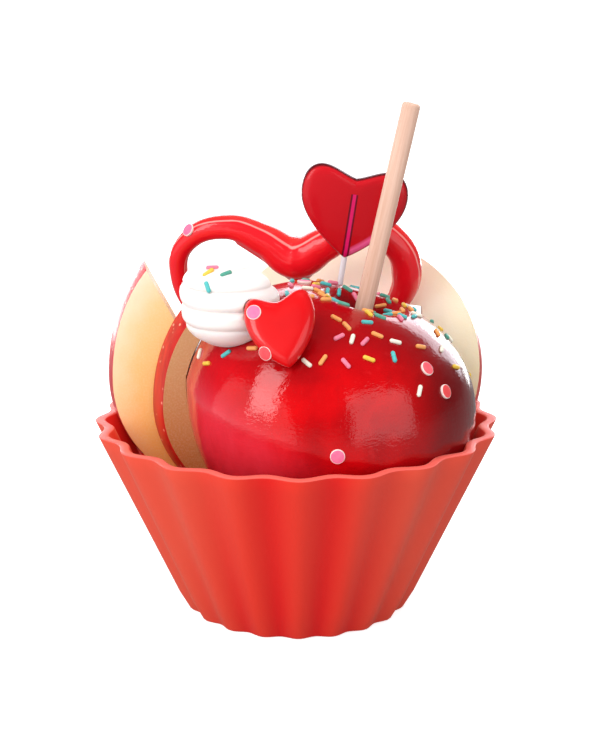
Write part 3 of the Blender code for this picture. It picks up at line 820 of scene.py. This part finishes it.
# The ring's tube: the x, z and radius of its spots, and the x and z of the web in its cleft.
RING_SPOTS = (
    (-0.0320, 0.0805, 0.0025),
    (-0.0296, 0.0897, 0.0028),
    (-0.0185, 0.0944, 0.0033),
    (-0.0085, 0.0909, 0.0043),
    (-0.0003, 0.0862, 0.0059),
    (0.0072, 0.0900, 0.0047),
    (0.0165, 0.0955, 0.0042),
    (0.0258, 0.0915, 0.0041),
    (0.0294, 0.0825, 0.0041),
    (0.0272, 0.0740, 0.0032),
    (0.0170, 0.0590, 0.0026),
    (0.0040, 0.0475, 0.0026),
    (-0.0130, 0.0560, 0.0025),
    (-0.0262, 0.0675, 0.0025),
)
RING_WEB = (
    (-0.0150, 0.0918),
    (-0.0085, 0.0874),
    (0.0007, 0.0805),
    (0.0060, 0.0862),
    (0.0100, 0.0905),
)
RING_WEB_RADIUS = 0.0023
RING_SEAT = (0.020, 0.0321, 0.060)
RING_TURN = 0.15
RING_LEAN = 0.35
RING_DISC = (-0.0278, 0.0925)
RING_GRAIN = 0.0004


def ring_place(x, z):
    """The plane that the heart ring stands in, leaning forward at the top."""
    seat_x, seat_y, seat_z = RING_SEAT
    return Vector((x, seat_y - RING_TURN * (x - seat_x) - RING_LEAN * (z - seat_z), z))


def tube(name, spots, closed):
    """A round tube through spots, each an x, a z and a radius, in the plane of the ring. An open
    tube turns sharply at its middle spot."""
    line = bpy.data.curves.new(name, "CURVE")
    line.dimensions = "3D"
    line.bevel_depth = 1.0
    line.bevel_resolution = 12
    line.resolution_u = 24 if closed else 12
    line.use_fill_caps = not closed
    spline = line.splines.new("BEZIER")
    spline.bezier_points.add(len(spots) - 1)
    for index, (point, (x, z, radius)) in enumerate(zip(spline.bezier_points, spots)):
        point.co = ring_place(x, z)
        point.radius = radius
        sharp = not closed and index == len(spots) // 2
        point.handle_left_type = "VECTOR" if sharp else "AUTO"
        point.handle_right_type = "VECTOR" if sharp else "AUTO"
    spline.use_cyclic_u = closed
    guide = placed(name, line)
    mesh = evaluated(guide)
    bpy.data.objects.remove(guide, do_unlink=True)
    return mesh


def ring_shape():
    """The tube and the thinner tube at its cleft are melted into one skin."""
    bm = bmesh.new()
    for name, spots, closed in (
        ("ring_line", RING_SPOTS, True),
        ("ring_web", [(x, z, RING_WEB_RADIUS) for x, z in RING_WEB], False),
    ):
        mesh = tube(name, spots, closed)
        bm.from_mesh(mesh)
        bpy.data.meshes.remove(mesh)
    bmesh.ops.remove_doubles(bm, verts=bm.verts, dist=0.00001)
    ring = melt(outward(bm), RING_GRAIN, 4)
    # across carries the painted light on the sides of the tube and its painted highlight line.
    across = ring.verts.layers.float.new("across")
    ring.normal_update()
    corner = ring_place(0, 0)
    facing = (ring_place(1, 0) - corner).cross(ring_place(0, 1) - corner)
    facing.normalize()
    for vert in ring.verts:
        vert[across] = 1 - abs(vert.normal.dot(facing))
    return ring


def melt(bm, grain, rounds):
    """Remeshes overlapping shapes into one skin and smooths it."""
    work = object_of("melt", bm)
    step = work.modifiers.new("melt", "REMESH")
    step.mode = "VOXEL"
    step.voxel_size = grain
    result = evaluated(work)
    bpy.data.objects.remove(work, do_unlink=True)
    fresh = back_to_bmesh(result)
    for _ in range(rounds):
        bmesh.ops.smooth_vert(
            fresh, verts=fresh.verts, factor=0.5, use_axis_x=True, use_axis_y=True, use_axis_z=True
        )
    return outward(fresh)


def cream_ridge(part, angle):
    """1 on a ridge of the swirl and 0 in a fold."""
    return abs(math.sin(math.pi * (CREAM_LAYERS * part + angle / (2 * math.pi))))


def cream_reach(part, angle):
    """How far the swirl reaches from its axis: part runs from 0 at the foot to 1 at the tip."""
    if part < CREAM_BELLY:
        body = (1 - ((CREAM_BELLY - part) / CREAM_BELLY) ** 2.2) ** 0.50
    else:
        body = (1 - ((part - CREAM_BELLY) / (1 - CREAM_BELLY)) ** 2.5) ** 0.60
    ridge = cream_ridge(part, angle)
    soft = 0.065 + 0.025 * math.sin(2 * angle + 9 * part)
    groove = soft * (1 - ridge) ** 2 * min(part / 0.15, 1.0) * min((1 - part) / 0.15, 1.0)
    return CREAM_RADIUS * body * (1 - groove)


def cream_spot(part, angle):
    reach = cream_reach(part, angle)
    curl = -CREAM_CURL * max(part - 0.55, 0.0) / 0.45
    return Vector(
        (reach * math.cos(angle) + curl, reach * math.sin(angle), CREAM_HEIGHT * (part - 0.5))
    )


def cream_shape():
    """A piped swirl whose tip curls over to the left."""
    bm = bmesh.new()
    fold = bm.verts.layers.float.new("fold")
    bmesh.ops.create_uvsphere(bm, u_segments=128, v_segments=140, radius=1.0)
    for vert in bm.verts:
        part = 1 - math.acos(max(-1.0, min(1.0, vert.co.z))) / math.pi
        angle = math.atan2(vert.co.y, vert.co.x)
        # fold carries the painted shade of the swirl's folds.
        vert[fold] = (1 - cream_ridge(part, angle)) ** 2
        if 0.0001 < part < 0.9999:
            vert.co = cream_spot(part, angle)
        else:
            vert.co = (-CREAM_CURL if part > 0.5 else 0.0, 0, CREAM_HEIGHT * (round(part) - 0.5))
    bmesh.ops.transform(bm, matrix=CREAM_PLACE, verts=bm.verts)
    return outward(bm)


def heart_line(angle, fullness, filled):
    """A heart one unit to each side: the cleft at angle 0 and the point at angle pi. filled
    raises the bottom of the cleft."""
    x = math.copysign(abs(math.sin(angle)) ** fullness, math.sin(angle))
    y = 0.80 * math.cos(angle) - 0.27 * math.cos(2 * angle)
    y += -0.10 * math.cos(3 * angle) - 0.04 * math.cos(4 * angle)
    return x, y + 0.16 + filled * math.exp(-((angle / 0.45) ** 2))


def heart_shape(sizes, form, around, rows, place):
    """A sphere whose rings are drawn as hearts: softness 1 is a full pillow, less is flatter."""
    half_width, half_height, half_thickness = sizes
    fullness, filled, softness = form
    bm = bmesh.new()
    reach = bm.verts.layers.float.new("reach")
    bmesh.ops.create_uvsphere(bm, u_segments=around, v_segments=rows, radius=1.0)
    for vert in bm.verts:
        x, y, z = vert.co
        flat = math.hypot(x, y)
        thick = max(0.0, 1 - flat ** (2 / softness)) ** 0.5
        wide, tall = heart_line(math.atan2(x, y), fullness, filled)
        if flat < 0.0001:
            flat = 0.0
        vert.co = (
            half_width * flat * wide,
            -math.copysign(half_thickness * thick, z),
            half_height * flat * tall,
        )
        vert[reach] = flat
    bmesh.ops.transform(bm, matrix=place, verts=bm.verts)
    return outward(bm)


def strand(place):
    """A sugar strand that lies along the X axis of its place."""
    bm = bmesh.new()
    bmesh.ops.create_uvsphere(bm, u_segments=10, v_segments=7, radius=SPRINKLE_RADIUS)
    for vert in bm.verts:
        vert.co.z += math.copysign(SPRINKLE_LENGTH / 2 - SPRINKLE_RADIUS, vert.co.z)
    turn = Matrix.Rotation(math.pi / 2, 4, "Y")
    bmesh.ops.transform(bm, matrix=place @ turn, verts=bm.verts)
    return bm


def disc(place):
    """A round of confetti with its coloured face up."""
    bm = bmesh.new()
    bmesh.ops.create_cone(
        bm,
        cap_ends=True,
        segments=40,
        radius1=CONFETTI_RADIUS,
        radius2=CONFETTI_RADIUS,
        depth=CONFETTI_THICKNESS,
    )
    for face in bm.faces:
        face.material_index = 0 if face.normal.z > 0.5 else 1
    rims = level_edges(bm)
    bmesh.ops.bevel(
        bm, geom=rims, offset=CONFETTI_EDGE, segments=3, profile=0.5, affect="EDGES", material=1
    )
    bmesh.ops.transform(bm, matrix=place, verts=bm.verts)
    return bm


def gather(name, shapes, finishes):
    """Joins many small shapes, each with its own colour, in one piece."""
    whole = bmesh.new()
    tint = whole.verts.layers.float_color.new("tint")
    for shape, colour in shapes:
        mesh = bpy.data.meshes.new("topping")
        shape.to_mesh(mesh)
        shape.free()
        start = len(whole.verts)
        whole.from_mesh(mesh)
        bpy.data.meshes.remove(mesh)
        whole.verts.ensure_lookup_table()
        for vert in whole.verts[start:]:
            vert[tint] = colour
    piece(name, outward(whole), finishes)


SUGAR = {
    "teal": tone(40, 178, 178),
    "green": tone(42, 150, 128),
    "yellow": tone(232, 186, 20),
    "white": tone(232, 226, 208),
    "orange": tone(235, 150, 62),
    "pink": tone(232, 110, 142),
}
# The discs on the apple: place along the profile, turn and colour.
CONFETTI_SPOTS = (
    (0.118, math.radians(161), tone(236, 100, 150)),
    (0.265, math.radians(-52), tone(236, 62, 84)),
    (0.323, math.radians(-43), tone(228, 18, 34)),
    (0.495, math.radians(-88), tone(232, 96, 146)),
)
# The sprinkles that lie apart on the front: place along the profile, turn and spin in degrees.
FRONT_SPRINKLES = (
    (0.429, -156, 113, "yellow"),
    (0.383, -147, 146, "teal"),
    (0.34, -136, 114, "orange"),
    (0.427, -167, 42, "white"),
    (0.32, -110, 70, "white"),
    (0.3, -104, 168, "orange"),
    (0.291, -94, 53, "pink"),
    (0.264, -84, 82, "yellow"),
    (0.244, -71, 8, "teal"),
    (0.324, -59, 162, "white"),
    (0.204, -50, 84, "orange"),
    (0.198, -68, 83, "white"),
    (0.217, -87, 152, "pink"),
    (0.22, -94, 179, "white"),
    (0.225, -101, 143, "pink"),
    (0.266, -26, 73, "yellow"),
    (0.212, -30, 118, "white"),
)


def apple_toppings():
    """Sprinkles crowd round the dimple and thin out down the sides, clear of what stands there."""
    draw = random.Random(43)
    paints = random.Random(7)
    front_start, front_end = FRONT_TURNS
    keep_off = [
        (CREAM_CENTRE, 0.0148),
        (SWEET_CENTRE, 0.0118),
        (LOLLY_FOOT - LOLLY_AXIS * 0.008, 0.0040),
        (STICK_THROUGH, 0.0052),
    ]
    taken = []
    discs = []
    strands = []
    for t, turn, colour in CONFETTI_SPOTS:
        place = apple_frame(t, turn, 0.0, DISC_SINK)
        taken.append((place.translation, DISC_ROOM))
        discs.append((disc(place), colour))
    for t, turn, spin, colour in FRONT_SPRINKLES:
        place = apple_frame(t, math.radians(turn), math.radians(spin), STRAND_SINK)
        taken.append((place.translation, STRAND_ROOM))
        strands.append((strand(place), SUGAR[colour]))
    names = list(SUGAR)
    while len(strands) < APPLE_SPRINKLES:
        t = CROWD_START + CROWD_SPAN * draw.random() ** CROWDING
        turn = draw.uniform(-math.pi, math.pi)
        place = apple_frame(t, turn, draw.uniform(0, math.pi), STRAND_SINK)
        spot = place.translation
        if any((spot - centre).length < reach for centre, reach in keep_off):
            continue
        if any((spot - other).length < room for other, room in taken):
            continue
        if spot.z < CUP_HEIGHT + RIM_ROOM or (t > FRONT_LINE and front_start < turn < front_end):
            continue
        taken.append((spot, STRAND_ROOM))
        strands.append((strand(place), SUGAR[paints.choice(names)]))
    return strands, discs


# The sprinkles on the cream: place up the swirl, turn and spin in degrees.
CREAM_SPRINKLES = (
    (0.945, -98, 0, "pink"),
    (0.905, -107, -40, "yellow"),
    (0.885, -73, -15, "green"),
    (0.774, -108, 65, "teal"),
)


def cream_toppings():
    made = []
    for part, turn, spin, colour in CREAM_SPRINKLES:
        angle = math.radians(turn)
        rise = max(0.0, (part - 0.5) * 2.2)
        normal = Vector((math.cos(angle), math.sin(angle), rise)).normalized()
        side = normal.cross(Vector((0, 0, 1))).normalized()
        spun = math.radians(spin)
        along = math.cos(spun) * side + math.sin(spun) * side.cross(normal)
        place = CREAM_PLACE @ frame_at(cream_spot(part, angle), normal, along)
        made.append((strand(place), SUGAR[colour]))
    return made


def land(bm, start, direction):
    """Where a line first meets a shape, and the surface's normal there."""
    spot, normal, _, _ = BVHTree.FromBMesh(bm).ray_cast(start, direction)
    return spot, normal


def make_cup():
    piece("cup_fluted", cup_shape(360), [silicone()], ["cup"], 50)


def make_apple():
    piece("apple_toffee", apple_shape(150, 200), [toffee()], ["apple"], 60)
    foot = STICK_THROUGH - STICK_AXIS * STICK_BELOW
    stick = rod_shape(foot, STICK_AXIS, STICK_BELOW + STICK_ABOVE, STICK_RADIUS, 48, 0.0008)
    piece("wooden_stick", stick, [wood()], ["stick"])


def make_outer_slice():
    straight = Matrix.Identity(3)
    outer = slice_shape(OUTER_CENTRE, OUTER_SIZES, SLICE_THICKNESS, straight, OUTER_CUTS)
    outer = carve(outer, [cup_shape(160, FIT_GAP)])
    cut = flesh(
        "slice_flesh_outer",
        (tone(246, 192, 116), tone(250, 208, 146), tone(253, 233, 206), tone(253, 224, 172)),
        OUTER_CENTRE,
        (0.0290, 0.5, 0.0420),
        (0.040, 0.082),
    )
    peel = skin("slice_skin_outer", tone(198, 20, 40), tone(226, 58, 62))
    piece("slice_outer", outer, [cut, peel], ["slice_left_outer"], 30)


def make_inner_slice():
    straight = Matrix.Identity(3)
    inner = slice_shape(INNER_CENTRE, INNER_SIZES, SLICE_THICKNESS, straight, INNER_CUTS)
    inner = carve(inner, [apple_shape(60, 96, FIT_GAP)])
    # Painted shade: the inner slice's flesh tones are painted darker and browner, as it lies in the
    # apple's shade.
    cut = flesh(
        "slice_flesh_inner",
        (tone(206, 164, 116), tone(200, 156, 108), tone(198, 150, 100), tone(240, 198, 152)),
        INNER_CENTRE,
        (0.0262, 0.5, 0.0330),
        (0.036, 0.070),
    )
    peel = skin("slice_skin_inner", tone(176, 14, 20), tone(206, 36, 28))
    piece("slice_inner", inner, [cut, peel], ["slice_left_inner"], 30)


def make_back_slice():
    level = BACK_FACING.cross(Vector((0, 0, 1))).normalized()
    turn = Matrix((level, BACK_FACING, level.cross(BACK_FACING))).transposed()
    back = slice_shape(BACK_CENTRE, BACK_SIZES, BACK_THICKNESS, turn, BACK_CUTS)
    back = carve(back, [apple_shape(60, 96, FIT_GAP), cup_shape(160, FIT_GAP), notch_shape()])
    cut = flesh(
        "slice_flesh_back",
        (tone(255, 250, 236), tone(254, 246, 226), tone(253, 241, 212), tone(253, 246, 226)),
        BACK_CENTRE,
        (0.0402, 0.5, 0.0361),
        (0.048, 0.075),
        turn.to_euler(),
    )
    peel = skin("slice_skin_back", tone(206, 24, 18), tone(226, 52, 30), 0.0)
    piece("slice_behind", back, [cut, peel], ["slice_back"], 30)


def make_ring():
    """The glazed ring. Gives back the disc that lies on it."""
    ring = ring_shape()
    start = ring_place(*RING_DISC) + Vector((-0.001, -0.02, 0.001))
    spot, normal = land(ring, start, Vector((0, 1, 0)))
    laid = disc(frame_at(spot, normal, Vector((1, 0, 0))))
    finish = glaze("red_glaze", tone(232, 17, 32), tone(238, 23, 36), tone(238, 52, 44))
    piece("heart_ring_glazed", ring, [finish], ["heart_ring"], 60)
    return [(laid, tone(236, 90, 140))]


def make_cream():
    room = [size + FIT_GAP for size in SWEET_SIZES]
    sweet_room = heart_shape(room, SWEET_HEART, 64, 20, SWEET_PLACE)
    dollop = carve(cream_shape(), [apple_shape(60, 96, FIT_GAP), sweet_room])
    piece("cream_dollop", dollop, [cream_finish()], ["cream"], 70)


# The discs on the sweet: x and z on its own face, and colour.
SWEET_DISCS = ((-0.0055, 0.0050, tone(236, 96, 150)), (-0.0047, -0.0047, tone(226, 34, 54)))


def make_sweet():
    """The puffed heart. Gives back the discs that lie on it, turned to its front."""
    sweet = heart_shape(SWEET_SIZES, SWEET_HEART, 160, 64, Matrix.Identity(4))
    laid = []
    for x, z, colour in SWEET_DISCS:
        spot, normal = land(sweet, Vector((x, -0.02, z)), Vector((0, 1, 0)))
        facing = normal.normalized() + Vector((0, -0.8, 0))
        laid.append((disc(SWEET_PLACE @ frame_at(spot, facing, Vector((1, 0, 0)))), colour))
    bmesh.ops.transform(sweet, matrix=SWEET_PLACE, verts=sweet.verts)
    finish = glaze("sweet_red", tone(206, 2, 10), tone(222, 6, 12))
    piece("heart_sweet_puffed", sweet, [finish], ["heart_sweet"], 60)
    return laid


def make_lollipop():
    side = LOLLY_AXIS.cross(Vector((0, 1, 0))).normalized()
    away = LOLLY_AXIS.cross(side)
    away = away if away.y > 0 else -away
    side = away.cross(LOLLY_AXIS)
    turn = Matrix((side, away, LOLLY_AXIS)).transposed().to_4x4()
    middle = Matrix.Translation(LOLLY_FOOT + LOLLY_AXIS * LOLLY_RISE) @ turn
    heart = heart_shape(LOLLY_SIZES, LOLLY_HEART, 320, 80, middle)
    piece("lollipop_candy", heart, [lolly_finish(middle)], ["lollipop_heart"], 60)
    foot = LOLLY_FOOT - LOLLY_AXIS * LOLLY_BELOW
    stem = rod_shape(foot, LOLLY_AXIS, LOLLY_BELOW + LOLLY_STICK_ABOVE, LOLLY_STICK_RADIUS, 32)
    piece("lollipop_stem", stem, [paper()], ["lollipop_stick"])


def make_toppings(laid):
    """All the strands in one piece and all the discs in another, with those laid on the sweets."""
    strands, discs = apple_toppings()
    sugar = sugar_finish()
    gather("sugar_strands", strands + cream_toppings(), [sugar])
    gather("confetti_discs", discs + laid, [sugar, confetti_edge()])


make_cup()
make_apple()
make_outer_slice()
make_inner_slice()
make_back_slice()
ring_discs = make_ring()
make_cream()
sweet_discs = make_sweet()
make_lollipop()
make_toppings(ring_discs + sweet_discs)


def by_ray(tree, other, gloss, seen):
    """One grey for the camera, one for what the gloss mirrors, and one for all other light."""
    rays = add_node(tree, "ShaderNodeLightPath").outputs
    shade = mix(tree, rays["Is Glossy Ray"], grey(other), grey(gloss))
    return mix(tree, rays["Is Camera Ray"], shade, grey(seen))


def make_floor():
    bm = bmesh.new()
    bmesh.ops.create_grid(bm, x_segments=2, y_segments=2, size=12.0)
    floor = object_of("studio_floor", bm)
    floor.location.z = -0.0001
    finish, tree, _ = material(
        "pale_floor", Roughness=0.9, Specular_IOR_Level=0.0, Emission_Strength=1.0
    )
    feed(tree, by_ray(tree, 0.30, 0.16, 0.85), "Base Color")
    feed(tree, by_ray(tree, 0.20, 0.06, 0.72), "Emission Color")
    floor.data.materials.append(finish)


def softbox(name, place, aim, width, height, glow, lights=True, mirrored=True):
    """A soft panel of a given brightness, which lights the object, is seen in its gloss or both."""
    data = bpy.data.lights.new(name, "AREA")
    data.shape = "RECTANGLE"
    data.size = width
    data.size_y = height
    data.energy = glow * math.pi * width * height
    made = placed(name, data)
    made.location = place
    way = Vector(aim) - Vector(place)
    made.rotation_euler = way.to_track_quat("-Z", "Y").to_euler()
    made.visible_camera = False
    made.visible_diffuse = lights
    made.visible_glossy = mirrored
    return made


def make_lights():
    """Soft light from the front, above, the right and behind, a window and a wall at the left
    that also show in the gloss, and a card, two strips and a back panel that only do that."""
    low = (0, 0, 0.06)
    right = (0.01, 0, 0.05)
    softbox("key_front", (-0.30, -0.75, 0.55), low, 0.45, 0.45, 3.3, mirrored=False)
    softbox("top_soft", (0.10, -0.05, 0.75), (0.01, 0, 0.08), 0.45, 0.45, 3.5, mirrored=False)
    softbox("window_left", (-0.40, -0.30, 0.29), (0, -0.01, 0.05), 0.20, 0.38, 4.6)
    softbox("wall_left", (-0.25, -0.14, 0.08), (0, -0.01, 0.28), 0.40, 0.34, 0.7)
    softbox("fill_right", (0.20, -0.30, 0.07), right, 0.20, 0.18, 1.8, mirrored=False)
    softbox("card_right", (0.236, -0.277, 0.128), right, 0.32, 0.27, 1.3, lights=False)
    softbox("fill_back", (0.10, 0.85, 0.45), low, 0.45, 0.45, 1.6, mirrored=False)
    softbox("strip_left", (-0.30, 0.46, 0.02), low, 0.20, 0.30, 9.0, lights=False)
    softbox("strip_right", (0.27, 0.48, 0.06), low, 0.11, 0.34, 11.0, lights=False)
    back = softbox("back_panel", (0.02, 0.62, 0.27), (0, 0, 0.07), 1.30, 0.36, 3.2, lights=False)
    back.data.color = (0.96, 0.93, 1.0)


def make_air():
    world = bpy.data.worlds.new("studio_air")
    world.use_nodes = True
    bpy.context.scene.world = world
    tree = world.node_tree
    tree.links.new(by_ray(tree, 0.76, 0.06, 1.0), tree.nodes["Background"].inputs["Color"])


CAMERA_AWAY = 0.416
CAMERA_RISE = math.radians(16.3)
CAMERA_TILT = math.radians(14.67)


def make_camera():
    data = bpy.data.cameras.new("camera")
    data.sensor_width = 36.0
    data.lens = 78.0
    data.clip_start = 0.01
    camera = placed("camera", data)
    up = CUP_HEIGHT + CAMERA_AWAY * math.sin(CAMERA_RISE)
    camera.location = (0.0003, -CAMERA_AWAY * math.cos(CAMERA_RISE), up)
    camera.rotation_euler = (math.pi / 2 - CAMERA_TILT, 0, 0)
    bpy.context.scene.camera = camera


make_floor()
make_lights()
make_air()
make_camera()
bpy.context.scene.view_settings.view_transform = "Standard"
